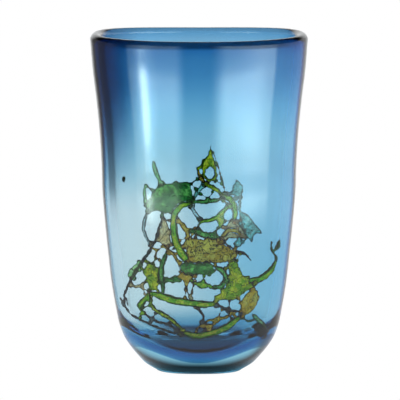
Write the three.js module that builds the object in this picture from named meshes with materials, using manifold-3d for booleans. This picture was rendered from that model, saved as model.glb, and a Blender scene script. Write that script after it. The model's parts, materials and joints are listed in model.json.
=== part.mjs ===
// A hand blown art glass vase: an oval body of clear glass cased over a thin blue cup, with trails
// and wafers of coloured glass laid on the blue cup and buried in the clear glass of the front wall.
// Millimetres, +Z up. The origin is the centre of the foot, and the decorated front faces -Y.
import * as THREE from "three";
import { mergeVertices } from "three/addons/utils/BufferGeometryUtils.js";
import Module from "manifold-3d";

const wasm = await Module();
wasm.setup();

// ---- Driving dimensions ----
const BODY_HEIGHT = 300;
const LIP_WIDTH = 188;
const LIP_DEPTH = 120;
const PLAN_SQUARENESS = 2.6; // exponent of the rounded oval plan: 2 is an ellipse
const CASING_WALL = 8.2; // clear glass outside the blue cup
const CUP_WALL = 2.5; // blue glass
const SEAM = 0.3; // gap left between pieces that are fused in the real vase
const FLOOR_HEIGHT = 19; // inside floor above the foot
const BOWL_HEIGHT = 34; // height over which the inside rounds into the floor
const LIP_ROLL = 10; // height of the rounded clear lip above the blue cup
const LIP_DIP = 1.6; // the lip's middle sags this far below its ends
const POLISHED_RADIUS = 14; // ground hollow under the foot
const POLISHED_DEPTH = 1.5;
const TRAIL_FLATNESS = 0.62; // a trail's depth into the wall over its width
const TRAIL_MAX_DEPTH = 4.6;
const WAFER_DEPTH = 3;

const WALL = CASING_WALL + SEAM + CUP_WALL;
const CUP_TOP = BODY_HEIGHT - LIP_ROLL;
const CUP_UNDERSIDE = FLOOR_HEIGHT - CUP_WALL;
const BOWL_TOP = FLOOR_HEIGHT + BOWL_HEIGHT;
const ROOM_FLOOR = -1; // a piece's room reaches through the casing's inside, into the seam

// ---- Facets ----
const PLAN_SEGMENTS = 40;
const WALK_STEPS = 720; // steps that the plan is measured in
const BOWL_STEPS = 6; // rings of the inside's rounded bottom
const WALL_SHARES = [0.2, 0.27, 0.36, 0.45, 0.54, 0.63, 0.72, 0.8, 0.9]; // heights of the wall's rings
const RING_GAP = 3; // least height between two rings of the wall
const LIP_TURNS = [40, 80, 120, 155]; // degrees round the lip's roll
const TRAIL_STEP = 11; // spacing of the sections along a trail

// The body's outline: height, half-width and half-depth as shares of the whole.
const OUTLINE = [
  [0, 0.405, 0.37],
  [0.009, 0.45, 0.43],
  [0.027, 0.528, 0.55],
  [0.047, 0.585, 0.63],
  [0.07, 0.643, 0.7],
  [0.1, 0.706, 0.765],
  [0.138, 0.753, 0.82],
  [0.193, 0.789, 0.865],
  [0.267, 0.826, 0.9],
  [0.357, 0.855, 0.93],
  [0.447, 0.881, 0.95],
  [0.537, 0.902, 0.955],
  [0.627, 0.909, 0.955],
  [0.717, 0.924, 0.96],
  [0.803, 0.949, 0.97],
  [0.91, 0.987, 0.99],
  [0.967, 1, 1],
];

// ---- The oval plan ----
const oval = (angle) => {
  const power = (value) => Math.sign(value) * Math.abs(value) ** (2 / PLAN_SQUARENESS);
  return [power(Math.sin(angle)), -power(Math.cos(angle))];
};

// Walks the plan from the middle of the front towards +X, so that places on the wall are even.
const walk = [{ length: 0, across: 0, along: -1 }];
for (let i = 1; i <= WALK_STEPS; i++) {
  const [across, along] = oval((2 * Math.PI * i) / WALK_STEPS);
  const last = walk[i - 1];
  const step = Math.hypot((across - last.across) * LIP_WIDTH, (along - last.along) * LIP_DEPTH) / 2;
  walk.push({ length: last.length + step, across, along });
}
const GIRTH = walk[WALK_STEPS].length;

function planAt(length) {
  const wanted = ((length % GIRTH) + GIRTH) % GIRTH;
  const i = Math.max(1, walk.findIndex((place) => place.length >= wanted));
  const [before, after] = [walk[i - 1], walk[i]];
  const t = (wanted - before.length) / (after.length - before.length);
  return [
    THREE.MathUtils.lerp(before.across, after.across, t),
    THREE.MathUtils.lerp(before.along, after.along, t),
  ];
}

// How far round the front wall a place stands, from its share of the half-width.
function girthAt(share) {
  const size = Math.min(Math.abs(share), 1);
  const i = Math.max(1, walk.findIndex((place) => place.across >= size));
  const [before, after] = [walk[i - 1], walk[i]];
  const t = (size - before.across) / (after.across - before.across);
  return Math.sign(share) * THREE.MathUtils.lerp(before.length, after.length, t);
}

// ---- The body's outline ----
function outlineAt(height) {
  const share = THREE.MathUtils.clamp(height / BODY_HEIGHT, 0, OUTLINE.at(-1)[0]);
  const i = Math.max(1, OUTLINE.findIndex(([top]) => top >= share));
  const [low, high] = [OUTLINE[i - 1], OUTLINE[i]];
  const t = (share - low[0]) / (high[0] - low[0]);
  return {
    width: (THREE.MathUtils.lerp(low[1], high[1], t) * LIP_WIDTH) / 2,
    depth: (THREE.MathUtils.lerp(low[2], high[2], t) * LIP_DEPTH) / 2,
  };
}

// The body's width at a height, as a share of the lip's.
const outlineShare = (height) => outlineAt(height).width / (LIP_WIDTH / 2);

// A ring of the body: the outline at this height, drawn in by inset.
function ringAt(height, inset) {
  const { width, depth } = outlineAt(height);
  return { width: width - inset, depth: depth - inset, height };
}

// A ring of the wall's layers, which round into the floor: lift is the height above the blue cup.
const BOWL_SQUARENESS = 2.2;
const BOWL_FULLNESS = 0.4;

function layerRingAt(height, lift) {
  const { width, depth } = ringAt(height, CASING_WALL + SEAM - lift);
  const floor = CUP_UNDERSIDE - lift;
  const drop = THREE.MathUtils.clamp((BOWL_TOP - height) / (BOWL_TOP - floor), 0, 1);
  const share = (1 - drop ** BOWL_SQUARENESS) ** BOWL_FULLNESS;
  return { width: width * share, depth: depth * share, height };
}

// The lip's middle, front and back, sags a little, and the wall below it less and less.
const SAG_FADE = 12;

function sagAt(across, height) {
  return LIP_DIP * (1 - across ** 2) * (height / BODY_HEIGHT) ** SAG_FADE;
}

// ---- Solids ----
function toSolid(geometry) {
  geometry.deleteAttribute("normal");
  geometry.deleteAttribute("uv");
  const merged = mergeVertices(geometry, 1e-4);
  const corners = merged.index.array;
  const triangles = [];
  for (let i = 0; i < corners.length; i += 3) {
    const [a, b, c] = corners.slice(i, i + 3);
    if (a !== b && b !== c && c !== a) triangles.push(a, b, c);
  }
  return new wasm.Manifold(
    new wasm.Mesh({
      numProp: 3,
      vertProperties: merged.attributes.position.array,
      triVerts: new Uint32Array(triangles),
    }),
  );
}

// Turns a profile of rings into a solid of the oval plan. The rings run up the outside first.
function ovalSolid(rings) {
  const profile = rings.map((ring) => new THREE.Vector2(ring.width, ring.height));
  const geometry = new THREE.LatheGeometry(profile, PLAN_SEGMENTS);
  const position = geometry.getAttribute("position");
  for (let i = 0; i < position.count; i++) {
    const ring = rings[i % rings.length];
    const turn = Math.floor(i / rings.length) % PLAN_SEGMENTS;
    const [across, along] = planAt((GIRTH * turn) / PLAN_SEGMENTS);
    const height = ring.height - sagAt(across, ring.height);
    position.setXYZ(i, ring.width * across, ring.depth * along, height);
  }
  return toSolid(geometry);
}

const BOWL_CROWDING = 0.9; // draws the bowl's rings towards its corner

// The rings of a layer of the wall, from the axis out to the wall and up to the top.
function layerRings(lift, top) {
  const floor = CUP_UNDERSIDE - lift;
  const rings = [];
  for (let i = 0; i <= BOWL_STEPS; i++) {
    const drop = Math.cos((i * Math.PI) / 2 / BOWL_STEPS) ** BOWL_CROWDING;
    rings.push(layerRingAt(BOWL_TOP - (BOWL_TOP - floor) * drop, lift));
  }
  const clear = (height) => height > BOWL_TOP + RING_GAP && height < top - RING_GAP;
  const heights = WALL_SHARES.map((share) => share * BODY_HEIGHT).filter(clear);
  for (const height of [...heights, top]) rings.push(layerRingAt(height, lift));
  return rings;
}

// A cup-shaped layer of the wall, from low to high above the blue cup's outside.
function wallLayer(low, high) {
  return ovalSolid([...layerRings(high, CUP_TOP), ...layerRings(low, CUP_TOP).reverse()]);
}

const blueCup = () => wallLayer(-CUP_WALL, 0);

function clearCasing() {
  const hollow = [1, 0.8, 0].map((share) => ({
    width: POLISHED_RADIUS * Math.sqrt(1 - share ** 2),
    depth: POLISHED_RADIUS * Math.sqrt(1 - share ** 2),
    height: POLISHED_DEPTH * share,
  }));
  const outside = OUTLINE.map(([share]) => ringAt(share * BODY_HEIGHT, 0));
  const lip = LIP_TURNS.map((degrees) => {
    const turn = THREE.MathUtils.degToRad(degrees);
    const inset = (WALL / 2) * (1 - Math.cos(turn));
    return { ...ringAt(BODY_HEIGHT, inset), height: CUP_TOP + (LIP_ROLL * (1 + Math.sin(turn))) / 2 };
  });
  const crown = { ...ringAt(BODY_HEIGHT, WALL / 2), height: BODY_HEIGHT };
  lip.splice(LIP_TURNS.length / 2, 0, crown);
  const underLip = ringAt(CUP_TOP + SEAM, WALL);
  const inside = layerRings(SEAM, CUP_TOP + SEAM).reverse();
  return ovalSolid([...hollow, ...outside, ...lip, underLip, ...inside]);
}

// ---- Trails and wafers ----
// Places on the front are given as distance right of the middle and height, on a body of this size.
const DRAWN_WIDTH = 188;
const DRAWN_HEIGHT = 300;
const DRAWN_FLOOR = 19;

function place([right, up]) {
  const share = (up - DRAWN_FLOOR) / (DRAWN_HEIGHT - DRAWN_FLOOR);
  return {
    right: (right * LIP_WIDTH) / DRAWN_WIDTH,
    up: THREE.MathUtils.lerp(FLOOR_HEIGHT, BODY_HEIGHT, share),
  };
}

// A point of the wall: girth from the middle of the front, height, and lift above the blue cup.
function wallPoint(girth, height, lift) {
  const [across, along] = planAt(girth);
  const ring = layerRingAt(height, lift);
  return [ring.width * across, ring.depth * along, height];
}

// The section of a trail: shares of its width and depth, flat where it lies on the cup.
const SECTION = [
  [0.5, 0.45],
  [0.27, 1],
  [-0.27, 1],
  [-0.5, 0.45],
  [-0.38, 0],
  [0.38, 0],
];
const TIP_SHARE = 0.3; // where a trail starts to round off, in widths from its end
const TIP_MOST = 0.2; // the most of its length that a tip takes up
const TIP_FULLNESS = 0.72; // a tip's width over the trail's
const POINT_DEPTH = 0.4; // where the end point stands in the trail's depth
const POINT_REACH = 1.5; // how far a room's end point stands off, in margins

// A width that runs through widths at even steps of the trail's length.
function widthAt(widths, share) {
  const spot = share * (widths.length - 1);
  const low = Math.floor(spot);
  return THREE.MathUtils.lerp(widths[low], widths[low + 1] ?? widths[low], spot - low);
}

// A trail of glass along points of the front, with its width at even steps of its length.
// margin above 0 makes the room that the trail needs in its neighbours.
function trail(points, widths, margin = 0) {
  const line = points.map((point) => {
    const { right, up } = place(point);
    const girth = girthAt(right / layerRingAt(up, SEAM).width);
    return new THREE.Vector3(girth * outlineShare(up), up, 0);
  });
  const curve = new THREE.CatmullRomCurve3(line, false, "centripetal");
  const length = curve.getLength();
  const rows = Math.max(4, Math.round(length / TRAIL_STEP) + 3);
  const tip = Math.min((TIP_SHARE * widths[0]) / length, TIP_MOST);
  const geometry = new THREE.SphereGeometry(1, SECTION.length, rows);
  const position = geometry.getAttribute("position");
  const columns = SECTION.length + 1;
  for (let i = 0; i < position.count; i++) {
    const row = Math.floor(i / columns);
    const isEnd = row === 0 || row === rows;
    const isTip = row === 1 || row === rows - 1;
    const share = isEnd ? row / rows : THREE.MathUtils.mapLinear(row, 1, rows - 1, tip, 1 - tip);
    const full = isTip ? TIP_FULLNESS : 1;
    const width = widthAt(widths, share) * full;
    const depth = Math.min(widthAt(widths, share) * TRAIL_FLATNESS, TRAIL_MAX_DEPTH) * full;
    const [sideShare, depthShare] = isEnd ? [0, POINT_DEPTH] : SECTION[(i % columns) % SECTION.length];
    const side = sideShare * width + Math.sign(sideShare) * margin;
    const floor = depthShare === 0 && margin > 0 ? ROOM_FLOOR : SEAM - margin;
    const lift = floor + depthShare * (depth + 2 * margin);
    const reach = isEnd ? margin * POINT_REACH * (row === 0 ? -1 : 1) : 0;
    const at = curve.getPointAt(share);
    const ahead = curve.getTangentAt(share);
    const height = at.y - ahead.x * side + ahead.y * reach;
    const girth = (at.x + ahead.y * side + ahead.x * reach) / outlineShare(height);
    position.setXYZ(i, ...wallPoint(girth, height, lift));
  }
  return toSolid(geometry);
}

const corners = (points) =>
  points.map((point) => {
    const { right, up } = place(point);
    return new THREE.Vector2(right, up);
  });

// A wafer of glass: an outline seen from the front, with its holes, as deep as a layer of the wall.
function wafer(points, holes, margin = 0) {
  const outline = new THREE.Shape(corners(points));
  outline.holes = holes.map((hole) => new THREE.Path(corners(hole)));
  const geometry = new THREE.ExtrudeGeometry(outline, {
    depth: LIP_DEPTH / 2,
    bevelEnabled: margin > 0,
    bevelThickness: margin,
    bevelSize: margin,
    bevelSegments: 1,
  });
  geometry.rotateX(Math.PI / 2);
  return toSolid(geometry).intersect(margin > 0 ? roomLayer : waferLayer);
}

const waferLayer = wallLayer(SEAM, SEAM + WAFER_DEPTH);
const roomLayer = wallLayer(ROOM_FLOOR, 2 * SEAM + WAFER_DEPTH);

// A piece of the decoration is made of strokes, each drawn again with a margin for its neighbours.
const pour = (points, widths) => (margin) => trail(points, widths, margin);
const sheet = (points, ...holes) => (margin) => wafer(points, holes, margin);

const GLASS = {
  leaf_green: "#6f9f2c",
  dark_green: "#2f5a20",
  pale_green: "#a9c79a",
  olive: "#85883a",
  gold: "#c39a3a",
  amber: "#9a6f2a",
  teal: "#7fb3a4",
  smoke: "#4a5f66",
  tan: "#d0b48c",
  milk: "#cfdcd6",
};

// Earlier pieces keep their shape, and later ones give way to them.
const DECORATION = [
  ["green_arch", "leaf_green", [pour(
    [[-5, 160.5], [-13, 159], [-18, 155.5], [-20.5, 150], [-21, 140], [-20, 130], [-17.5, 122],
      [-12.5, 113.5], [-9.5, 108.5]], [5, 7, 7, 7.2, 8.6, 9.6])]],
  ["green_shoulder", "leaf_green", [pour(
    [[18.5, 168], [23, 166], [27, 162], [29.7, 155], [30, 149], [29, 143]], [5, 6.8, 6, 5])]],
  ["lower_girder", "leaf_green", [pour(
    [[-42, 79], [-36.5, 79], [-31.5, 77.7], [-26, 75.3], [-19.5, 73.5], [-12.5, 72.5], [-5, 71.8],
      [1, 70.3], [8, 70.5], [15, 71]], [6, 8, 7.4, 7, 6.4])]],
  ["bottom_sweep", "leaf_green", [pour(
    [[-14, 45], [-7, 42.5], [-1, 41], [6, 42.8], [13, 45], [19.5, 47], [25, 50.8], [30, 55], [35, 59]],
    [6, 7.8, 7.4, 7.4, 6])]],
  ["long_thread", "smoke", [
    pour([[-31, 147], [-33, 138.5], [-35, 130.5], [-38, 122.5], [-42, 116], [-46, 109.5], [-50, 102.5],
      [-54, 95], [-57, 88.5], [-59.5, 81.5], [-61.5, 75], [-62, 69], [-61, 63.5], [-57, 58],
      [-51.5, 55], [-44.5, 52], [-37, 49], [-29.5, 46.3], [-22, 43.8], [-15.5, 42]],
      [3.2, 3.2, 2.8, 3, 2.8]),
    pour([[-64.5, 71], [-62.5, 66], [-62, 62]], [3.2, 3.8, 3])]],
  ["right_arm", "leaf_green", [pour(
    [[40, 90.5], [44, 91.5], [49, 90.5], [54, 93], [58.5, 97], [62, 102], [63.5, 107]], [6, 7, 7, 4.6])]],
  ["arm_knob", "dark_green", [
    pour([[63.5, 108], [61.5, 113], [60, 117], [59.5, 121], [60.5, 124]], [3.4, 3]),
    pour([[61.5, 114], [64.5, 118], [66.3, 125]], [4, 6.8, 3])]],
  ["left_post", "dark_green", [pour(
    [[-26, 118], [-28.5, 113], [-30, 109], [-31, 104.5], [-31.5, 98], [-30.5, 90.5], [-30, 82]],
    [4.6, 6, 6.4, 6])]],
  ["green_crescent", "dark_green", [pour(
    [[12, 104.5], [18.5, 101.7], [22, 98], [23, 92.8], [20.5, 87.5], [15.5, 84.8], [10, 86]],
    [5, 6.8, 6])]],
  ["inner_rail", "olive", [pour(
    [[-42, 73], [-38, 65.5], [-33, 62.3], [-28.5, 59.6], [-24.5, 57.5], [-21, 54], [-17.5, 50.8],
      [-13, 47]], [4, 4.8, 4.4])]],
  ["outer_rail", "smoke", [pour(
    [[-46, 60.5], [-42, 57], [-37, 54.2], [-31.5, 52.8], [-26.5, 52], [-22, 49], [-18.5, 46.3]],
    [2.8, 3.2, 2.8])]],
  ["left_knot", "leaf_green", [pour(
    [[-43, 78], [-46.5, 71], [-49, 67.3], [-50, 63.5], [-46.5, 60.5]], [5, 6.6, 4])]],
  ["amber_knuckle", "amber", [pour([[-0.5, 190], [0, 185], [2.5, 180], [6, 177]], [3.6, 5, 5.6])]],
  ["olive_leg", "olive", [pour([[5, 177], [11, 173.8], [15.5, 171], [20, 168]], [5, 5])]],
  ["teal_leg", "teal", [pour([[4, 176], [0, 171.5], [-2.5, 168], [-5, 163.5]], [5, 4.6])]],
  ["green_top_bar", "dark_green", [pour(
    [[-6, 161], [0, 161.3], [4, 161.5], [10, 162], [16, 163], [21, 164.5]], [4, 4.4, 4.4])]],
  ["inner_vine", "leaf_green", [
    pour([[26, 159], [20.5, 153.5], [17, 149.5], [12.5, 146.5], [7, 144.5], [2, 144.5], [-1, 141.5],
      [-2, 137]], [4.4, 4.6, 3.6, 3]),
    sheet([[15, 148], [18, 151], [21.5, 151], [21.5, 144], [19.5, 138], [16.5, 139]])]],
  ["pale_drip", "milk", [pour([[-7, 158], [-3.5, 152], [-0.5, 148], [1, 146]], [4, 4.6, 4])]],
  ["amber_link", "gold", [pour([[-18, 147], [-12, 139], [-9.5, 134.5], [-8, 129]], [4, 5.6, 5])]],
  ["green_bridge", "dark_green", [pour(
    [[-8, 136.5], [0, 134.5], [5, 132.5], [10, 132], [17, 130.5], [20, 128.5]], [5, 7, 6.6, 5])]],
  ["amber_arch", "gold", [pour(
    [[15.5, 122.5], [18, 128], [21, 133.5], [24.5, 136.8], [29.5, 136.8], [33.5, 133.5], [37, 129.5]],
    [4, 5, 4])]],
  ["teal_ribbon", "teal", [
    sheet([[33.5, 153], [40, 150], [43.5, 147], [47, 141], [51.5, 136], [53, 131.5], [48, 133],
      [45.5, 130], [45, 125], [40.5, 129], [38.5, 134], [37.5, 138.5], [35.5, 144]]),
    pour([[34, 160.5], [33.6, 156.5], [35, 151]], [3.4, 4])]],
  ["frothy_film", "tan", [sheet(
    [[22, 139], [25, 144], [28.5, 146.5], [33.5, 142], [37, 137], [38.5, 131], [33, 129], [26, 130],
      [19, 127]],
    [[26.5, 133.5], [31, 134.5], [30, 138.5], [25, 137.5]])]],
  ["core_strand", "smoke", [pour(
    [[14, 128.5], [22, 125], [27, 121], [33.5, 117], [40, 114], [44, 108]], [2.4, 3.2, 2.2])]],
  ["teal_tab", "teal", [sheet([[29, 124.5], [31.5, 127.5], [34, 128], [37, 125.5], [35, 121.5], [31, 121]])]],
  ["amber_core", "amber", [sheet(
    [[-12, 128.5], [-3, 129.5], [5, 128.5], [12, 128.5], [18, 127.5], [24, 123.5], [29.5, 119],
      [33, 114], [30, 110], [26, 108.5], [18, 107.5], [8, 108.5], [-2, 107.5], [-9, 109], [-16, 116]])]],
  ["green_core", "dark_green", [sheet(
    [[-16, 107], [-8, 110], [0, 109], [7, 109], [13, 106], [14, 100], [10, 95.5], [2, 97], [-3, 96.5],
      [-10, 97], [-16, 100]])]],
  ["amber_star", "gold", [sheet(
    [[-16, 99], [-9.5, 98], [-2, 97.5], [-6.5, 92.5], [-8.5, 90], [-11, 83.5], [-13, 91.5],
      [-19.5, 95]])]],
  ["green_blob", "leaf_green", [pour([[-3, 89.5], [3, 88], [9, 87.5]], [7, 8, 6])]],
  ["olive_mass", "olive", [sheet(
    [[25, 104], [26.5, 109], [32, 109], [34, 103.5], [37.5, 96.5], [43, 91.5], [49, 89], [47, 84],
      [39.5, 80.5], [35, 76], [28, 73.5], [20, 74.5], [13, 72.5], [13, 78], [18, 80.5], [23.5, 86.5],
      [26, 93], [26, 99]])]],
  ["amber_wafer", "gold", [sheet(
    [[46, 83.5], [49.5, 80.5], [51, 74.5], [49, 68.5], [46.5, 64], [42, 60.5], [37.5, 59],
      [35.5, 65], [35.5, 71], [37.5, 75], [41, 80]])]],
  ["right_strut", "pale_green", [
    pour([[44.5, 60.5], [49.5, 53.5], [53, 48], [55, 43.5]], [4, 5, 4.4]),
    pour([[36, 57], [41, 53.5], [47.5, 54.5]], [2.4])]],
  ["smoky_wedge", "smoke", [sheet([[46.5, 50.5], [50, 49.5], [53, 44], [54, 39.5], [51, 36.5], [48, 40]])]],
  ["silver_loop", "milk", [pour([[49, 34.5], [52.5, 36], [56, 42]], [2.2, 2.6, 2.2])]],
  ["pale_left_strand", "milk", [pour(
    [[-43, 152], [-45, 145], [-46, 139.5], [-46, 134], [-44, 128.5], [-40, 122]], [3, 3.8, 3])]],
  ["tan_shard", "tan", [sheet(
    [[-31, 149], [-27, 143], [-25, 137], [-24.5, 130], [-24, 125], [-27, 121.5], [-32, 124],
      [-35, 128], [-33, 137]])]],
  ["amber_web", "amber", [
    pour([[-33, 122.5], [-27.5, 120.5], [-23, 117.5], [-20, 113.5], [-17, 107]], [3.6, 4, 3.6]),
    pour([[-30, 121], [-34, 120], [-36, 117], [-36.5, 111]], [3, 3, 2.8])]],
  ["pale_loop_wafer", "pale_green", [sheet(
    [[-49, 107], [-54.5, 104], [-58.5, 98.5], [-60, 92], [-55.5, 91], [-51, 99], [-47, 104.5]])]],
  ["tan_crescent", "tan", [pour([[-57, 85], [-51, 84], [-48, 86], [-44, 90]], [3, 3.8, 3])]],
  ["leafy_cluster", "olive", [sheet(
    [[-43, 107], [-37.5, 105], [-34, 99], [-34, 91], [-35, 82], [-42, 82], [-44, 92], [-48, 98]])]],
  ["left_link", "dark_green", [pour([[-30, 91.8], [-22, 91.5], [-15, 91.5]], [4, 4.4, 4])]],
  ["amber_nodule", "gold", [pour([[3.5, 51], [8.5, 50.3], [13.5, 51]], [4.6, 6, 4.6])]],
  ["right_brace", "smoke", [pour([[13, 71], [20, 67.5], [25, 65], [30, 63.5], [36, 62.5]], [3, 3.4, 3])]],
  ["upper_sweep", "amber", [pour(
    [[-4, 46], [1, 50.5], [6, 54.5], [12, 56.5], [18, 56.8], [24, 59], [30, 62.5]], [3.6, 3.2, 3.6])]],
  ["web_tie", "smoke", [pour([[-3, 69], [2.5, 62.5], [4.5, 58.5], [3, 53.5]], [2.6, 2.4])]],
  ["star_tie", "tan", [pour([[-3.5, 91], [-6, 83], [-6.5, 76]], [2.8])]],
  ["olive_sail", "olive", [sheet(
    [[10, 211], [12, 202], [14.5, 193], [16, 185], [14, 179.5], [7.5, 178.5], [3.5, 183.5], [2, 190],
      [4, 197], [7.5, 202]],
    [[9, 192], [6, 189.5], [5.4, 185.5], [7.4, 181.8], [11, 181.4], [13.4, 185], [12.4, 190]])]],
  ["sail_thread", "dark_green", [pour(
    [[12, 204], [16, 192], [18, 184], [20.5, 175], [22.5, 168]], [2, 2.6, 2.4])]],
  ["green_wing", "dark_green", [sheet(
    [[-47, 157], [-41, 152], [-35, 153.5], [-28, 150.5], [-22, 153], [-13, 160], [-5.5, 163.5],
      [-6, 172], [-7, 177], [-10, 179], [-16, 178], [-20, 180], [-23, 177], [-33, 177], [-38, 170.5],
      [-42, 163.5]])]],
  ["green_horn", "pale_green", [pour([[-45, 175], [-45.3, 169], [-44, 160]], [3, 4, 4])]],
  ["pale_green_finger", "pale_green", [pour(
    [[-38, 197], [-37, 191], [-34.5, 184], [-31, 176]], [3.8, 4.8, 4.6])]],
  ["pale_teal_wafer", "teal", [sheet(
    [[31.5, 180.5], [28.5, 174], [28.5, 169], [31.5, 164.5], [35, 164.5], [37, 170], [37, 175],
      [34, 178.5]])]],
  ["stray_green_drop", "dark_green", [pour([[-62, 181.5], [-61.5, 175]], [4, 4.4])]],
];

// Cuts a neighbour's room out of a solid, where the two meet.
function giveWay(solid, room) {
  const [a, b] = [solid.boundingBox(), room.boundingBox()];
  const apart = [0, 1, 2].some((axis) => a.min[axis] > b.max[axis] || b.min[axis] > a.max[axis]);
  return apart ? solid : solid.subtract(room);
}

// Cutting can leave loose slivers between two rooms, which aren't part of a piece.
function withoutSlivers(solid) {
  return solid.decompose().reduce((best, body) => (body.volume() > best.volume() ? body : best));
}

const join = (solids) => solids.reduce((whole, solid) => whole.add(solid));

function toMesh(name, solid, material) {
  const { vertProperties, triVerts } = solid.getMesh();
  const geometry = new THREE.BufferGeometry();
  geometry.setAttribute("position", new THREE.BufferAttribute(vertProperties, 3));
  geometry.setIndex(new THREE.BufferAttribute(triVerts, 1));
  geometry.computeVertexNormals();
  const mesh = new THREE.Mesh(geometry, material);
  mesh.name = name;
  return mesh;
}

function glass(colour, opacity) {
  return new THREE.MeshStandardMaterial({
    color: colour,
    roughness: 0.05,
    metalness: 0,
    transparent: opacity < 1,
    opacity,
  });
}

const vase = new THREE.Group();
vase.name = "art_glass_vase";

const rooms = [];
for (const [name, colour, strokes] of DECORATION) {
  const whole = join(strokes.map((stroke) => stroke(0)));
  const solid = withoutSlivers(rooms.reduce(giveWay, whole));
  rooms.push(join(strokes.map((stroke) => stroke(SEAM))));
  vase.add(toMesh(name, solid, glass(GLASS[colour], 1)));
}
vase.add(toMesh("blue_cup", blueCup(), glass("#5aa9d6", 0.6)));
const casing = withoutSlivers(clearCasing().subtract(join(rooms)));
vase.add(toMesh("clear_casing", casing, glass("#dfe9ec", 0.3)));

export default vase;
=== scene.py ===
"""A hand blown art glass vase: clear glass over a blue cup, with coloured trails buried in the front."""

import json
import math

import bmesh
import bpy
import numpy as np
from mathutils import Matrix, Vector, noise
from mathutils.bvhtree import BVHTree


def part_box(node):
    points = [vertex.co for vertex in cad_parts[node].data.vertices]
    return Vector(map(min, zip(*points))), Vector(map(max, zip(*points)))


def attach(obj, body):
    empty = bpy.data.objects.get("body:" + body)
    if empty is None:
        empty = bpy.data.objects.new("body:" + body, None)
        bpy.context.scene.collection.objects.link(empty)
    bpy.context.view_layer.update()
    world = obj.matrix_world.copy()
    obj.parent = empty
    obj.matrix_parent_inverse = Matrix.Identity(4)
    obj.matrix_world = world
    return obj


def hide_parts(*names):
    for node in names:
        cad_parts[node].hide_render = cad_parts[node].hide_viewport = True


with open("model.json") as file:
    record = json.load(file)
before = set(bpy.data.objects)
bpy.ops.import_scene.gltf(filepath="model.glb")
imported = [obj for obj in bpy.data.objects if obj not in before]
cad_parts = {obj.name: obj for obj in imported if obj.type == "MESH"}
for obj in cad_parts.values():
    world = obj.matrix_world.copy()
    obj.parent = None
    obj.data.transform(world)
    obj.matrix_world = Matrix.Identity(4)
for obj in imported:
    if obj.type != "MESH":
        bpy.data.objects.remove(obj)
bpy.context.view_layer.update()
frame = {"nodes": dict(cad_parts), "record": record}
NODES = frame["nodes"]

# ---- Sizes, in metres, from the CAD model; the last two repeat numbers in its source ----
LOW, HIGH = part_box("clear_casing")
CUP_LOW, CUP_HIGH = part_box("blue_cup")
HEIGHT = HIGH.z
LIP_HALF_WIDTH = HIGH.x
LIP_HALF_DEPTH = HIGH.y
LIP_ROLL = HEIGHT - CUP_HIGH.z
PLAN_SQUARENESS = 2.6
BOWL_HEIGHT = 0.034

# ---- Camera ----
CAMERA_DISTANCE = 1.7
CAMERA_ELEVATION = math.radians(11.5)
CAMERA_AIM = Vector((0.0009, 0, 0.1523))
CAMERA_LENS = 174
SENSOR_WIDTH = 36


def make_camera():
    data = bpy.data.cameras.new("camera")
    data.lens = CAMERA_LENS
    data.sensor_width = SENSOR_WIDTH
    camera = bpy.data.objects.new("camera", data)
    back = Vector((0, -math.cos(CAMERA_ELEVATION), math.sin(CAMERA_ELEVATION)))
    camera.location = CAMERA_AIM + CAMERA_DISTANCE * back
    camera.rotation_euler = (-back).to_track_quat("-Z", "Y").to_euler()
    bpy.context.scene.collection.objects.link(camera)
    bpy.context.scene.camera = camera


# ---- Node helpers ----
class Nodes:
    """A node tree that is written as code: each call adds a node and returns its output."""

    def __init__(self, tree):
        self.tree = tree
        tree.nodes.clear()

    def add(self, kind, values=None, out=0, **settings):
        node = self.tree.nodes.new(kind)
        for name, value in settings.items():
            setattr(node, name, value)
        for name, value in (values or {}).items():
            if isinstance(value, bpy.types.NodeSocket):
                self.tree.links.new(value, node.inputs[name])
            else:
                node.inputs[name].default_value = value
        return node.outputs[out]

    def math(self, operation, a, b=0.0, c=0.0):
        return self.add("ShaderNodeMath", {0: a, 1: b, 2: c}, operation=operation)

    def smooth(self, value, start, end, low=0.0, high=1.0):
        values = {"Value": value, "From Min": start, "From Max": end, "To Min": low, "To Max": high}
        return self.add("ShaderNodeMapRange", values, interpolation_type="SMOOTHSTEP")

    def mix(self, share, a, b):
        node = self.tree.nodes.new("ShaderNodeMix")
        node.data_type = "RGBA"
        for socket, value in ((0, share), (6, a), (7, b)):
            if isinstance(value, bpy.types.NodeSocket):
                self.tree.links.new(value, node.inputs[socket])
            else:
                node.inputs[socket].default_value = value
        return node.outputs[2]

    def ramp(self, value, stops):
        node = self.tree.nodes.new("ShaderNodeValToRGB")
        self.tree.links.new(value, node.inputs[0])
        elements = node.color_ramp.elements
        while len(elements) < len(stops):
            elements.new(0.5)
        for element, (position, colour) in zip(elements, stops):
            element.position = position
            element.color = (*colour, 1)
        return node.outputs[0]


# ---- Light ----
# A turn is measured round the vase, in radians from the camera's side towards +X, and a rise is
# measured in radians above the horizon. Two numbers are where a change starts and ends, and where
# there are four, the last two are what it runs from and to. Three numbers are a window's start and
# end, and how soft they are.
WHITE = (1, 1, 1, 1)
DARK = 0.02  # how bright the unlit room looks
PAPER = (0.97, 0.99, 1, 1)
BACK_TURN = (2.3, 2.75)  # the paper behind, on both sides
RIGHT_TURN = (0.1, 0.6)  # the paper on the right
LEFT_TURN = (-0.9, -1.3)
LEFT_SHARE = 0.35  # how much of the paper's light the room on the left gives back
BACKDROP_TOP = (0.3, 0.58)  # the rises between which the paper ends
LAMP = (0.78, 1, 0.98, 1)
SOFTBOX = 7.0
SEEN_THROUGH = 0.4  # how bright the soft lights look through the glass, so its back is not burnt out
LEFT_BOX = (-0.8, -0.1, 0.05)
LEFT_BOX_OUTER = (-0.75, -0.5, 0.3, 1.0)
LEFT_BOX_INNER = (-0.45, -0.3, 1.0, 0.65)
RIGHT_BOX = (0.1, 0.95, 0.07)
RIGHT_BOX_OUTER = (0.5, 0.9, 1.0, 0.6)
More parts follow.
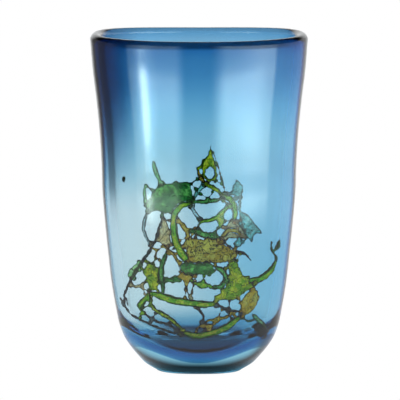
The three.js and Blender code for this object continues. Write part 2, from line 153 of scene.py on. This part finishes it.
BOX_RISE = (-0.34, 0.6, 0.06)
BOX_FADE = (-0.225, -0.187)  # above this the soft lights are weaker
BOX_HIGH = 0.3
STREAK = 1.6  # how much brighter than the soft light its lamp looks
STREAK_TURN = (-0.58, -0.46, 0.05)
STREAK_RISE = (-0.26, -0.203, 0.008)
FLOOR_CORNERS = 64
FLOOR_RADIUS = 0.95
FLOOR_END = 0.45  # from here to its edge the floor fades, and the glass sees the soft lights past it
FLOOR_GAP = 0.0002  # kept between the foot and the paper
FLOOR_SHARE = 0.9  # how bright the paper looks in the glass
# The painted shadow under the foot, which only the glass sees: its blue, its brightness, its middle and
# its reach.
PAINTED_SHADOW_BLUE = (0.3, 0.75, 1, 1)
PAINTED_SHADOW_SHARE = 0.22  # how bright the paper under the foot looks
SHADE_MIDDLE = (0, 0.004, 0)
FLOOR_SHADE = (0.035, 0.06)  # how far from the shade's middle the floor is dark, and how far it is pale


def make_world():
    """A dark studio with paper behind and on the right, and a soft light on each side of the camera."""
    world = bpy.data.worlds.new("studio")
    world.use_nodes = True
    bpy.context.scene.world = world
    n = Nodes(world.node_tree)
    direction = n.add("ShaderNodeTexCoord", out=0)
    x = n.add("ShaderNodeSeparateXYZ", {0: direction}, out=0)
    y = n.add("ShaderNodeSeparateXYZ", {0: direction}, out=1)
    z = n.add("ShaderNodeSeparateXYZ", {0: direction}, out=2)
    turn = n.math("ARCTAN2", x, n.math("MULTIPLY", y, -1.0))
    side = n.math("ABSOLUTE", turn)
    rise = n.math("ARCSINE", z)

    def window(value, start, end, soft):
        opens = n.smooth(value, start - soft, start + soft)
        closes = n.smooth(value, end - soft, end + soft, 1.0, 0.0)
        return n.math("MULTIPLY", opens, closes)

    back = n.smooth(side, *BACK_TURN)
    right = n.smooth(turn, *RIGHT_TURN)
    left = n.smooth(turn, *LEFT_TURN, 0.0, LEFT_SHARE)
    pale = n.math("MAXIMUM", n.math("MAXIMUM", back, right), left)
    base = n.math("MULTIPLY", pale, n.smooth(rise, *BACKDROP_TOP, 1.0, DARK))
    left_box = n.math("MULTIPLY", window(turn, *LEFT_BOX), n.smooth(turn, *LEFT_BOX_OUTER))
    left_box = n.math("MULTIPLY", left_box, n.smooth(turn, *LEFT_BOX_INNER))
    right_box = n.math("MULTIPLY", window(turn, *RIGHT_BOX), n.smooth(turn, *RIGHT_BOX_OUTER))
    streak = n.math("MULTIPLY", window(turn, *STREAK_TURN), window(rise, *STREAK_RISE))
    left_box = n.math("ADD", left_box, n.math("MULTIPLY", streak, STREAK))
    boxes = n.math("MULTIPLY", n.math("ADD", left_box, right_box), window(rise, *BOX_RISE))
    boxes = n.math("MULTIPLY", boxes, n.smooth(rise, *BOX_FADE, SOFTBOX, SOFTBOX * BOX_HIGH))
    through = n.add("ShaderNodeLightPath", out="Is Transmission Ray")
    boxes = n.math("MULTIPLY", boxes, n.smooth(through, 0.0, 1.0, 1.0, SEEN_THROUGH))
    seen = n.add("ShaderNodeLightPath", out=0)
    around = n.add("ShaderNodeBackground", {"Color": PAPER, "Strength": n.math("MAXIMUM", base, DARK)})
    lamps = n.add("ShaderNodeBackground", {"Color": LAMP, "Strength": boxes})
    studio = n.add("ShaderNodeAddShader", {0: around, 1: lamps})
    paper = n.add("ShaderNodeBackground", {"Color": WHITE, "Strength": 1.0})
    surface = n.add("ShaderNodeMixShader", {0: seen, 1: studio, 2: paper})
    n.tree.links.new(surface, n.tree.nodes.new("ShaderNodeOutputWorld").inputs[0])


def make_floor():
    """A pale sheet of paper. Under the foot it carries a painted shadow, dark and blue, which only the
    glass sees.
    """
    mesh = bpy.data.meshes.new("floor")
    corners = []
    for i in range(FLOOR_CORNERS):
        turn = 2 * math.pi * i / FLOOR_CORNERS
        corners.append((FLOOR_RADIUS * math.cos(turn), FLOOR_RADIUS * math.sin(turn), 0))
    mesh.from_pydata(corners, [], [list(range(len(corners)))])
    floor = bpy.data.objects.new("floor", mesh)
    floor.location.z = LOW.z - FLOOR_GAP
    bpy.context.scene.collection.objects.link(floor)
    material = bpy.data.materials.new("paper")
    material.use_nodes = True
    n = Nodes(material.node_tree)
    position = n.add("ShaderNodeNewGeometry", out=0)
    distance = n.add("ShaderNodeVectorMath", {0: position, 1: SHADE_MIDDLE}, out=1, operation="DISTANCE")
    # Painted shadow: for all but the camera, the paper under the foot is dim and blue.
    shade = n.smooth(distance, *FLOOR_SHADE, PAINTED_SHADOW_SHARE, FLOOR_SHARE)
    seen = n.add("ShaderNodeLightPath", out=0)
    paper = n.add("ShaderNodeEmission", {"Color": WHITE, "Strength": 1.0})
    light = n.mix(n.smooth(distance, *FLOOR_SHADE), PAINTED_SHADOW_BLUE, WHITE)
    under = n.add("ShaderNodeEmission", {"Color": light, "Strength": shade})
    far = n.add("ShaderNodeVectorMath", {0: position}, out=1, operation="LENGTH")
    gone = n.smooth(far, FLOOR_END, FLOOR_RADIUS)
    under = n.add("ShaderNodeMixShader", {0: gone, 1: under, 2: n.add("ShaderNodeBsdfTransparent")})
    surface = n.add("ShaderNodeMixShader", {0: seen, 1: under, 2: paper})
    n.tree.links.new(surface, n.tree.nodes.new("ShaderNodeOutputMaterial").inputs[0])
    mesh.materials.append(material)


# ---- Materials ----
def glass_material(name, colour, ior, absorb=None):
    """Clear glass. colour is the function that builds its colour, and absorb is (colour, density)."""
    material = bpy.data.materials.new(name)
    material.use_nodes = True
    n = Nodes(material.node_tree)
    values = {
        "Base Color": colour(n),
        "Roughness": 0.0,
        "IOR": ior,
        "Transmission Weight": 1.0,
    }
    surface = n.add("ShaderNodeBsdfPrincipled", values)
    output = n.tree.nodes.new("ShaderNodeOutputMaterial")
    n.tree.links.new(surface, output.inputs["Surface"])
    if absorb:
        volume = n.add("ShaderNodeVolumeAbsorption", {"Color": (*absorb[0], 1), "Density": absorb[1]})
        n.tree.links.new(volume, output.inputs["Volume"])
    return material


GLASS_IOR = 1.5
BLUE = ((0.30, 0.68, 0.86), 120)

# How much of each colour passes each face of the blue cup, by share of the height. The last stop, dark
# navy at the top of the lip, is painted shade.
BLUE_LEFT = [
    (0.03, (0.42, 0.68, 0.8)),
    (0.13, (0.82, 0.9, 0.92)),
    (0.2, (0.88, 0.93, 0.94)),
    (0.35, (0.94, 0.965, 0.965)),
    (0.5, (0.92, 0.95, 0.96)),
    (0.61, (0.68, 0.84, 0.91)),
    (0.7, (0.56, 0.78, 0.9)),
    (0.785, (0.433, 0.705, 0.875)),
    (0.9, (0.22, 0.49, 0.73)),
    (0.98, (0.15, 0.4, 0.66)),
    (0.992, (0.04, 0.14, 0.27)),
]
BLUE_RIGHT = [
    (0.03, (0.36, 0.62, 0.78)),
    (0.13, (0.55, 0.78, 0.88)),
    (0.2, (0.56, 0.79, 0.9)),
    (0.35, (0.52, 0.786, 0.915)),
    (0.5, (0.6, 0.82, 0.94)),
    (0.61, (0.55, 0.76, 0.88)),
    (0.7, (0.55, 0.78, 0.9)),
    (0.785, (0.433, 0.705, 0.875)),
    (0.9, (0.22, 0.49, 0.73)),
    (0.98, (0.15, 0.4, 0.66)),
    # painted shade at the top of the lip
    (0.992, (0.04, 0.14, 0.27)),
]
# Painted shade: NAVY darkens the top left, and LIP_NAVY the front lip.
NAVY = (0.015, 0.12, 0.3, 1)
LIP_NAVY = (0.02, 0.07, 0.14, 1)
PALE_BLUE = (0.6, 0.8, 0.9, 1)

CLEAR = (0.965, 0.99, 0.975, 1)
BASE_BLUE = (0.2, 0.5, 0.66, 1)
BASE_UP = (0.028, 0.046)  # heights between which the base's tint fades

# Where the blue changes, as shares of the half-width, the half-depth and the height.
LEFT_TO_RIGHT = (-0.65, 0.6)
# where the painted navy shade lies at the top left
NAVY_ACROSS = (-0.5, -0.85)
NAVY_UP = (0.5, 0.85, 0.0, 0.9)
PALE_BACK = (0.2, 0.6)
PALE_UP = (0.8, 0.95, 0.0, 0.25)
# and where the painted navy shade lies on the front lip
FRONT_LIP = (-0.4, -0.8)
LIP_UP = (0.968, 0.982)


def blue_fade(n):
    """Strong at the lip, fading downwards and to the left, with painted shade in navy at the top left and
    on the front lip.
    """
    position = n.add("ShaderNodeNewGeometry", out=0)
    y = n.math("DIVIDE", n.add("ShaderNodeSeparateXYZ", {0: position}, out=1), LIP_HALF_DEPTH)
    x = n.math("DIVIDE", n.add("ShaderNodeSeparateXYZ", {0: position}, out=0), LIP_HALF_WIDTH)
    z = n.math("DIVIDE", n.add("ShaderNodeSeparateXYZ", {0: position}, out=2), HEIGHT)
    fade = n.mix(n.smooth(x, *LEFT_TO_RIGHT), n.ramp(z, BLUE_LEFT), n.ramp(z, BLUE_RIGHT))
    # painted shade at the top left
    painted_shade_left = n.math("MULTIPLY", n.smooth(x, *NAVY_ACROSS), n.smooth(z, *NAVY_UP))
    walls = n.mix(painted_shade_left, fade, NAVY)
    back = n.math("MULTIPLY", n.smooth(y, *PALE_BACK), n.smooth(z, *PALE_UP))
    # painted shade on the front lip
    front_lip_shade = n.math("MULTIPLY", n.smooth(y, *FRONT_LIP), n.smooth(z, *LIP_UP))
    return n.mix(front_lip_shade, n.mix(back, walls, PALE_BLUE), LIP_NAVY)


def base_tint(n):
    """Clear glass that looks bluer in the thick base, where the cup's colour gathers."""
    position = n.add("ShaderNodeNewGeometry", out=0)
    z = n.add("ShaderNodeSeparateXYZ", {0: position}, out=2)
    return n.mix(n.smooth(z, *BASE_UP), BASE_BLUE, CLEAR)


TRAIL_IOR = 1.18
TRAIL_ROUGHNESS = 0.04
PATCH_SCALE = 130.0
PATCH_EDGE = (0.42, 0.58)
# The folds, which are bumped and painted with shade: how fine their noise is and how wide their painted
# dark lines are.
FOLD_SCALE = 115.0
FOLD_WIDTH = (0.01, 0.055)
# Painted shade: the steep sides take the darker tone, which leaves a painted highlight along the middle,
# and the steepest edges are painted dark.
SHADED_SIDES = (0.03, 0.13)  # how steep a side takes the darker tone
DARK_EDGES = (0.09, 0.3)  # and how steep an edge looks dark
BUMP_DEPTH = 0.004


def trail_material(name, light, mid, dark, clear, fold_shade):
    """Coloured glass: patches of two tones, a painted highlight along the middle with darker painted
    sides, painted shade in the folds where it crumpled, and painted shade on the rounded edges.
    """
    material = bpy.data.materials.new(name)
    material.use_nodes = True
    n = Nodes(material.node_tree)
    position = n.add("ShaderNodeNewGeometry", out=0)
    patches = n.add("ShaderNodeTexNoise", {"Vector": position, "Scale": PATCH_SCALE, "Detail": 3.0}, out=0)
    noise_values = {"Vector": position, "Scale": FOLD_SCALE, "Detail": 1.5, "Distortion": 2.2}
    folds = n.add("ShaderNodeTexNoise", noise_values, out=0)
    off_fold = n.math("ABSOLUTE", n.math("SUBTRACT", folds, 0.5))
    # painted shade in the folds
    fold = n.smooth(off_fold, *FOLD_WIDTH, fold_shade, 0.0)
    edge = n.add("ShaderNodeAttribute", out=2, attribute_name="edge")
    # the darker tone goes to darker patches and, as painted shade, to the steep sides, so the light tone
    # makes a painted highlight along the middle
    patches_and_side_shade = n.math("MAXIMUM", n.smooth(patches, *PATCH_EDGE), n.smooth(edge, *SHADED_SIDES))
    body = n.mix(patches_and_side_shade, (*light, 1), (*mid, 1))
    # painted shade in the folds and on the edges
    shade = n.math("MAXIMUM", fold, n.smooth(edge, *DARK_EDGES))
    values = {
        "Base Color": n.mix(shade, body, (*dark, 1)),
        "Roughness": TRAIL_ROUGHNESS,
        "IOR": TRAIL_IOR,
        "Transmission Weight": clear,
    }
    surface = n.add("ShaderNodeBsdfPrincipled", values)
    bumps = n.add("ShaderNodeBump", {"Height": folds, "Strength": 0.8, "Distance": BUMP_DEPTH})
    n.tree.links.new(bumps, surface.node.inputs["Normal"])
    n.tree.links.new(surface, n.tree.nodes.new("ShaderNodeOutputMaterial").inputs["Surface"])
    return material


# Each slot's light and darker tones, the painted shade of its edges and folds, how clear it is, and how
# strongly it is folded, which also sets how dark its folds are painted.
TRAIL_LOOKS = {
    "leaf_green_glass": ((0.92, 1.0, 0.07), (0.2, 0.72, 0.03), (0.008, 0.04, 0.004), 0.6, 0.5),
    "dark_green_glass": ((0.3, 0.75, 0.16), (0.02, 0.26, 0.04), (0.003, 0.015, 0.005), 0.78, 0.9),
    "pale_green_glass": ((0.8, 1.0, 0.55), (0.42, 0.8, 0.3), (0.01, 0.05, 0.03), 0.85, 0.5),
    "olive_glass": ((1.0, 1.0, 0.05), (0.3, 0.58, 0.02), (0.012, 0.035, 0.004), 0.6, 0.75),
    "gold_glass": ((1.0, 0.88, 0.2), (0.95, 0.62, 0.06), (0.05, 0.03, 0.005), 0.62, 0.6),
    "amber_glass": ((1.0, 0.88, 0.14), (0.72, 0.5, 0.04), (0.02, 0.012, 0.002), 0.6, 1.0),
    "teal_glass": ((0.6, 0.95, 0.8), (0.22, 0.62, 0.5), (0.005, 0.04, 0.04), 0.88, 0.7),
    "smoky_glass": ((0.3, 0.38, 0.36), (0.06, 0.1, 0.1), (0.004, 0.006, 0.008), 0.8, 0.6),
    "tan_glass": ((1.0, 0.9, 0.55), (0.9, 0.7, 0.32), (0.03, 0.02, 0.012), 0.75, 0.6),
    "pale_glass": ((0.9, 0.97, 0.95), (0.65, 0.8, 0.78), (0.01, 0.02, 0.025), 0.9, 0.5),
}


# ---- The body ----
def cuts(node, height):
    """Where the edges of a CAD node cross a height."""
    mesh = NODES[node].data
    corners = np.empty(len(mesh.vertices) * 3)
    mesh.vertices.foreach_get("co", corners)
    corners = corners.reshape(-1, 3)
    edges = np.empty(len(mesh.edges) * 2, np.int32)
    mesh.edges.foreach_get("vertices", edges)
    a, b = (corners[i] for i in edges.reshape(-1, 2).T)
    crossing = (a[:, 2] - height) * (b[:, 2] - height) < 0
    a, b = a[crossing], b[crossing]
    share = (height - a[:, 2]) / (b[:, 2] - a[:, 2])
    return a + (b - a) * share[:, None]


def smooth_curve(xs, ys):
    """A smooth function through the points, with each point's slope from its neighbours."""
    slopes = np.gradient(ys, xs)

    def curve(x):
        i = int(np.clip(np.searchsorted(xs, x) - 1, 0, len(xs) - 2))
        step = xs[i + 1] - xs[i]
        t = (x - xs[i]) / step
        return (
            (1 + 2 * t) * (1 - t) ** 2 * ys[i]
            + t * (1 - t) ** 2 * step * slopes[i]
            + t * t * (3 - 2 * t) * ys[i + 1]
            + t * t * (t - 1) * step * slopes[i + 1]
        )

    return curve


# The shares of the height at which the CAD outline is measured.
OUTLINE_SHARES = [0.001, 0.009, 0.027, 0.047, 0.07, 0.1, 0.138, 0.193, 0.267, 0.357, 0.447, 0.537, 0.627]
OUTLINE_SHARES += [0.717, 0.803, 0.91, 0.964]


def measured_outline():
    heights = [share * HEIGHT for share in OUTLINE_SHARES]
    widths, depths = [], []
    for height in heights:
        points = cuts("clear_casing", height)
        widths.append(np.abs(points[:, 0]).max())
        depths.append(np.abs(points[:, 1]).max())
    return smooth_curve(heights, widths), smooth_curve(heights, depths)


half_width, half_depth = measured_outline()


CUP_SHARE = 0.6  # the share of the height at which the cup is measured


def wall_insets():
    """How far the cup's outside and inside lie from the outside of the casing."""
    height = CUP_SHARE * HEIGHT
    points = cuts("blue_cup", height)
    on_axis = np.abs(points[np.abs(points[:, 1]) < 1e-4][:, 0])
    outside = half_width(height)
    return outside - on_axis.max(), outside - on_axis.min()


CASING_WALL, WALL = wall_insets()
CUP_WALL = WALL - CASING_WALL
FLOOR_LIFT = 0.004  # the inside floor lies this much higher than the CAD model's
LIP_BLUE = 0.97  # the share of the lip's roll that the blue fills
SKIN = 0.0003  # clear glass left between the blue and the air, so only the clear glass refracts
FLOOR = CUP_LOW.z + CUP_WALL + FLOOR_LIFT


def plan_table(steps=720):
    """The lengths walked round the oval plan, from the middle of its front towards +X, and its points."""
    turns = np.linspace(0, 2 * math.pi, steps + 1)
    power = 2 / PLAN_SQUARENESS
    across = np.sign(np.sin(turns)) * np.abs(np.sin(turns)) ** power
    along = -np.sign(np.cos(turns)) * np.abs(np.cos(turns)) ** power
    steps_long = np.hypot(np.diff(across) * LIP_HALF_WIDTH, np.diff(along) * LIP_HALF_DEPTH)
    walked = np.concatenate([[0], np.cumsum(steps_long)])
    return walked, across, along


WALKED, ACROSS, ALONG = plan_table()


def plan(share):
    length = (share % 1) * WALKED[-1]
    return np.interp(length, WALKED, ACROSS), np.interp(length, WALKED, ALONG)


def outside_ring(height, inset=0.0):
    return half_width(height) - inset, half_depth(height) - inset, height


BOWL_SQUARENESS = 2.1
BOWL_FULLNESS = 0.5
BOWL_RINGS = 40
BOWL_CROWDING = 0.9  # below 1, the bowl's rings crowd towards its floor's middle


def inside_ring(height, inset, floor):
    width, depth, _ = outside_ring(height, inset)
    top = FLOOR + BOWL_HEIGHT
    drop = min(max((top - height) / (top - floor), 0), 1)
    share = (1 - drop**BOWL_SQUARENESS) ** BOWL_FULLNESS
    return width * share, depth * share, height


def inside_rings(inset, floor, top, count):
    """The rings of the rounded inside, from the axis out and up to the top."""
    start = FLOOR + BOWL_HEIGHT
    rings = []
    for i in range(BOWL_RINGS + 1):
        drop = math.cos(i * math.pi / (2 * BOWL_RINGS)) ** BOWL_CROWDING
        rings.append(inside_ring(start - (start - floor) * drop, inset, floor))
    for height in np.linspace(start, top, count)[1:]:
        rings.append(outside_ring(height, inset))
    return rings


RIPPLE = 0.004
RIPPLES_ROUND = 26
RIPPLES_UP = 8
LIP_DIP = 0.0016
SAG_FADE = 12
SEGMENTS = 224


def ripple(point):
    """The unevenness of blown glass, longer up the wall than round it, as a share of the radius."""
    place = Vector((point[0] * RIPPLES_ROUND, point[1] * RIPPLES_ROUND, point[2] * RIPPLES_UP))
    calm = min(point[2] / FLOOR, 1)
    return RIPPLE * calm * (1 + noise.noise(place))


def sag(across, height):
    """How far the lip dips at the middle of its front and back."""
    return LIP_DIP * (1 - across**2) * (height / HEIGHT) ** SAG_FADE


def ring_mesh(name, rings, segments=SEGMENTS):
    """A closed oval solid from rings that start and end on the axis."""
    verts, faces = [], []
    starts = []
    for width, depth, height in rings:
        starts.append(len(verts))
        if width < 1e-6:
            verts.append((0, 0, height))
            continue
        for i in range(segments):
            across, along = plan(i / segments)
            point = (width * across, depth * along, height - sag(across, height))
            wave = 1 - ripple(point)
            verts.append((point[0] * wave, point[1] * wave, point[2]))
    starts.append(len(verts))
    for ring in range(len(rings) - 1):
        a, b = starts[ring], starts[ring + 1]
        for i in range(segments):
            j = (i + 1) % segments
            if starts[ring + 1] - a == 1:
                face = (a, b + j, b + i)
            elif starts[ring + 2] - b == 1:
                face = (a + i, a + j, b)
            else:
                face = (a + i, a + j, b + j, b + i)
            faces.append(face)
    mesh = bpy.data.meshes.new(name)
    mesh.from_pydata(verts, [], faces)
    mesh.polygons.foreach_set("use_smooth", [True] * len(faces))
    mesh.validate()
    bm = bmesh.new()
    bm.from_mesh(mesh)
    bmesh.ops.remove_doubles(bm, verts=bm.verts, dist=1e-7)
    bmesh.ops.recalc_face_normals(bm, faces=bm.faces)
    bm.to_mesh(mesh)
    bm.free()
    piece = bpy.data.objects.new(name, mesh)
    bpy.context.scene.collection.objects.link(piece)
    return piece


HOLLOW_RADIUS = 0.014  # the ground hollow under the foot
HOLLOW_DEPTH = 0.0015
HOLLOW_RINGS = 12
FOOT_RINGS = 4
FOOT_SHARE = 0.001
BASE_START = 0.001
BASE_TOP = 0.06
BASE_RINGS = 40
WALL_RINGS = 120
LIP_RINGS = 24
INSIDE_RINGS = 100
BLUE_LIP_RINGS = 16


def make_casing():
    rings = [(0, 0, HOLLOW_DEPTH)]
    for i in range(1, HOLLOW_RINGS + 1):
        share = i / HOLLOW_RINGS
        radius = HOLLOW_RADIUS * share
        rings.append((radius, radius, HOLLOW_DEPTH * math.sqrt(max(1 - share**2, 0))))
    foot_width, foot_depth, _ = outside_ring(FOOT_SHARE * HEIGHT)
    for i in range(1, FOOT_RINGS + 1):
        share = i / FOOT_RINGS
        width = HOLLOW_RADIUS + (foot_width - HOLLOW_RADIUS) * share
        depth = HOLLOW_RADIUS + (foot_depth - HOLLOW_RADIUS) * share
        rings.append((width, depth, 0))
    lip_start = HEIGHT - LIP_ROLL / 2
    base = np.linspace(BASE_START, BASE_TOP, BASE_RINGS)
    wall = np.linspace(BASE_TOP, lip_start, WALL_RINGS)[1:]
    for height in np.concatenate([base, wall]):
        rings.append(outside_ring(height))
    for i in range(1, LIP_RINGS):
        turn = math.pi * i / LIP_RINGS
        inset = WALL / 2 * (1 - math.cos(turn))
        width, depth, _ = outside_ring(lip_start, inset)
        rings.append((width, depth, lip_start + LIP_ROLL / 2 * math.sin(turn)))
    rings += inside_rings(WALL, FLOOR, lip_start, INSIDE_RINGS)[::-1]
    piece = ring_mesh("clear_casing_glass", rings)
    piece.data.materials.append(glass_material("clear_glass", base_tint, GLASS_IOR))
    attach(piece, "root")
    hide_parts("clear_casing")


def make_cup():
    """The blue glass. Its own surface doesn't bend light: it only tints what passes it."""
    top = HEIGHT - LIP_ROLL / 2
    outside = inside_rings(CASING_WALL, CUP_LOW.z, top - LIP_ROLL, INSIDE_RINGS)
    inside = inside_rings(WALL - SKIN, FLOOR - SKIN, top, INSIDE_RINGS)
    edge = []
    for i in range(1, BLUE_LIP_RINGS):
        turn = math.pi * i / BLUE_LIP_RINGS
        inset = WALL / 2 - (WALL / 2 - SKIN) * LIP_BLUE * math.cos(turn)
        width, depth, _ = outside_ring(top, inset)
        edge.append((width, depth, top + (LIP_ROLL / 2 - SKIN) * math.sin(turn)))
    piece = ring_mesh("blue_cup_glass", outside + edge + inside[::-1])
    piece.data.materials.append(glass_material("blue_glass", blue_fade, 1.0, absorb=BLUE))
    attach(piece, "root")
    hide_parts("blue_cup")


# ---- The trails ----
TOUCHING = 0.0006  # pieces that the CAD model holds this near were fused
JOINT_APART = 0.006
WEB_REACH = 0.009  # hot glass drew a web between trails this near
WEB_APART = 0.012
WEB_STEP = 0.0008
WEB_RADIUS = 0.0008
WEB_FLARE = 0.0013
BLOB_RADIUS = 0.0027
BLOB_VARIES = 0.0012
BLOB_NOISE = 300
FLATNESS = 0.62  # a drop's depth into the wall over its width
VOXEL = 0.0006
SMOOTHING = 7
EDGE_ROUNDS = 5
SWELL = 0.0005
SWELL_NOISE = 180
DIMPLE = 0.00025
DIMPLE_NOISE = 420
PLUMP = 0.0003  # thickens a trail all over, since smoothing thins it
CRUMPLE = 0.0022
CRUMPLE_NOISE = 230
CRUMPLE_SHIFT = Vector((3, 7, 1))


def evaluated(piece):
    """The piece's mesh with its modifiers applied."""
    graph = bpy.context.evaluated_depsgraph_get()
    mesh = bpy.data.meshes.new_from_object(piece.evaluated_get(graph))
    piece.modifiers.clear()
    piece.data = mesh
    return mesh


def wall_normal(x, y, z):
    """The way out of the wall at a place in it."""
    power = PLAN_SQUARENESS - 1
    across = abs(x / half_width(z)) ** power * math.copysign(1, x) / half_width(z)
    along = abs(y / half_depth(z)) ** power * math.copysign(1, y) / half_depth(z)
    return Vector((across, along, 0)).normalized()


def surface_tree(node):
    mesh = NODES[node].data
    corners = [vertex.co for vertex in mesh.vertices]
    return BVHTree.FromPolygons(corners, [polygon.vertices for polygon in mesh.polygons])


def joints(node, tree):
    """Where a node's corners lie against a neighbour, and the gaps that webs would cross."""
    gaps = []
    for vertex in NODES[node].data.vertices:
        near, _, _, gap = tree.find_nearest(vertex.co, WEB_REACH)
        if near is not None:
            gaps.append((gap, vertex.index, vertex.co.copy(), near))
    touching, webs = [], []
    for gap, _, place, near in sorted(gaps):
        if gap <= TOUCHING:
            if all((place - other).length > JOINT_APART for other in touching):
                touching.append(place)
        elif all((place - other).length > WEB_APART for other in touching + [web[0] for web in webs]):
            webs.append((place, near))
    return touching, webs[:2]


def add_web(bm, start, end):
    """A drawn strand of glass, thin in its middle."""
    steps = 2 + int((end - start).length / WEB_STEP)
    for i in range(steps + 1):
        share = i / steps
        add_blob(bm, start.lerp(end, share), WEB_RADIUS + WEB_FLARE * (2 * share - 1) ** 2)


def add_blob(bm, place, radius):
    """A flattened drop of glass in the wall, where two trails fused."""
    out = wall_normal(*place)
    turn = out.to_track_quat("Z", "Y").to_matrix().to_4x4()
    size = Matrix.Diagonal((radius, radius, radius * FLATNESS, 1))
    matrix = Matrix.Translation(place) @ turn @ size
    bmesh.ops.create_icosphere(bm, subdivisions=2, radius=1, matrix=matrix)


def spread(mesh, values, rounds):
    """Values of the corners, evened out with their neighbours' values."""
    pairs = np.empty(len(mesh.edges) * 2, np.int32)
    mesh.edges.foreach_get("vertices", pairs)
    a, b = pairs.reshape(-1, 2).T
    count = np.bincount(pairs, minlength=len(values))
    for _ in range(rounds):
        total = np.bincount(a, values[b], len(values)) + np.bincount(b, values[a], len(values))
        values = (values + total) / (1 + count)
    return values


def make_trail(node, material, crumple, trees):
    """A CAD trail made soft: joined to its neighbours, smoothed, swollen and crumpled."""
    bm = bmesh.new()
    bm.from_mesh(NODES[node].data)
    for tree in trees:
        touching, webs = joints(node, tree)
        for place in touching:
            add_blob(bm, place, BLOB_RADIUS + BLOB_VARIES * noise.noise(place * BLOB_NOISE))
        for web in webs:
            add_web(bm, *web)
    mesh = bpy.data.meshes.new(node + "_glass")
    bm.to_mesh(mesh)
    bm.free()
    piece = bpy.data.objects.new(node + "_glass", mesh)
    bpy.context.scene.collection.objects.link(piece)
    remesh = piece.modifiers.new("remesh", "REMESH")
    remesh.mode = "VOXEL"
    remesh.voxel_size = VOXEL
    smooth = piece.modifiers.new("smooth", "SMOOTH")
    smooth.factor = 0.5
    smooth.iterations = SMOOTHING
    mesh = evaluated(piece)
    normals = [vertex.normal.copy() for vertex in mesh.vertices]
    # How steeply the trail turns away from the wall; from this the material paints shade on its sides and
    # edges.
    tilts = [1 - abs(normal.dot(wall_normal(*v.co))) for normal, v in zip(normals, mesh.vertices)]
    edge = mesh.attributes.new("edge", "FLOAT", "POINT")
    edge.data.foreach_set("value", spread(mesh, np.array(tilts), EDGE_ROUNDS))
    for vertex, normal in zip(mesh.vertices, normals):
        swell = noise.noise(vertex.co * SWELL_NOISE) * SWELL
        swell += noise.noise(vertex.co * DIMPLE_NOISE) * DIMPLE
        fold = abs(noise.noise(vertex.co * CRUMPLE_NOISE + CRUMPLE_SHIFT)) * crumple
        vertex.co += normal * (swell + PLUMP - fold)
    mesh.polygons.foreach_set("use_smooth", [True] * len(mesh.polygons))
    mesh.materials.clear()
    mesh.materials.append(material)
    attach(piece, "root")
    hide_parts(node)


def make_trails():
    materials = {}
    for slot, looks in TRAIL_LOOKS.items():
        materials[slot] = trail_material("trail_" + slot, *looks)
    trees = []
    for part in frame["record"]["subparts"]:
        node, slot = part["node"], part["material_slot"]
        if slot in materials:
            make_trail(node, materials[slot], CRUMPLE * TRAIL_LOOKS[slot][-1], trees)
            trees.append(surface_tree(node))


def set_render_looks():
    scene = bpy.context.scene
    scene.view_settings.view_transform = "Standard"
    scene.cycles.max_bounces = 32
    scene.cycles.transmission_bounces = 32
    scene.cycles.glossy_bounces = 12
    scene.cycles.transparent_max_bounces = 32
    scene.cycles.volume_bounces = 0


make_camera()
make_world()
make_floor()
make_casing()
make_cup()
make_trails()
set_render_looks()
